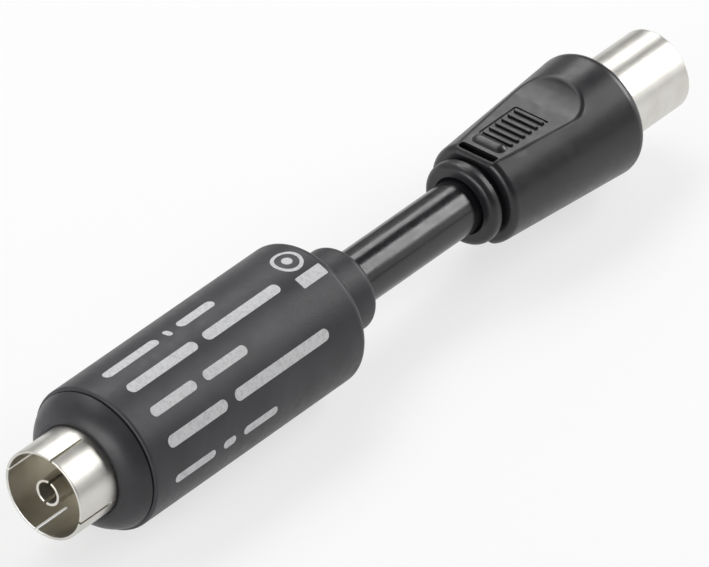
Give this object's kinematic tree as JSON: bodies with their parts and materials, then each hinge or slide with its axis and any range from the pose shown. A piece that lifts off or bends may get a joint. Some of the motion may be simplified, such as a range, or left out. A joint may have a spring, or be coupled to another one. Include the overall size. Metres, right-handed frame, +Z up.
{
  "type": "ground loop isolator",
  "caption": "Inline aerial-lead ground loop isolator: round barrel with a slotted push-fit socket, short coaxial lead and flared moulded plug with thumb grips.",
  "frame": {"origin": "on the floor, under the middle of the part's length", "axes": "+X along the common axis from the socket to the plug, +Z up through the plug's upper thumb grip"},
  "size_m": [0.0996, 0.0164, 0.0165],
  "materials": {
    "barrel_plastic": "fine matte moulded ABS",
    "print_ink": "matte pale ink, printed on the barrel",
    "cap_plastic": "satin moulded ABS",
    "nickel": "bright nickel plate on brass",
    "contact_nickel": "nickel plate on spring bronze",
    "disc_plastic": "natural polypropylene",
    "board": "glass-epoxy board with solder mask",
    "ceramic_tan": "dipped ceramic",
    "ceramic_blue": "dipped ceramic",
    "resistor_lacquer": "lacquered film resistor",
    "arrester_ceramic": "glazed ceramic tube with plated ends",
    "ferrite": "sintered ferrite",
    "crimp_tin": "tinned brass",
    "lead_pvc": "glossy soft PVC",
    "braid_copper": "tinned copper braid",
    "core_plastic": "foamed polyethylene",
    "conductor_copper": "bare copper",
    "plug_pvc": "satin soft PVC moulding"
  },
  "bodies": {
    "root": {"female_shell": "nickel", "female_insulator": "disc_plastic", "female_contact": "contact_nickel", "front_cap": "cap_plastic", "barrel_sleeve": "barrel_plastic", "circuit_board": "board", "signal_capacitor": "ceramic_tan", "shield_capacitors": "ceramic_blue", "bleed_resistor": "resistor_lacquer", "surge_arrester": "arrester_ceramic", "ferrite_core": "ferrite", "barrel_ferrule": "crimp_tin", "lead_jacket": "lead_pvc", "lead_braid": "braid_copper", "lead_dielectric": "core_plastic", "lead_conductor": "conductor_copper", "plug_ferrule": "crimp_tin", "plug_body": "plug_pvc", "male_shell": "nickel", "male_insulator": "disc_plastic", "male_pin": "contact_nickel"}
  },
  "joints": []
}
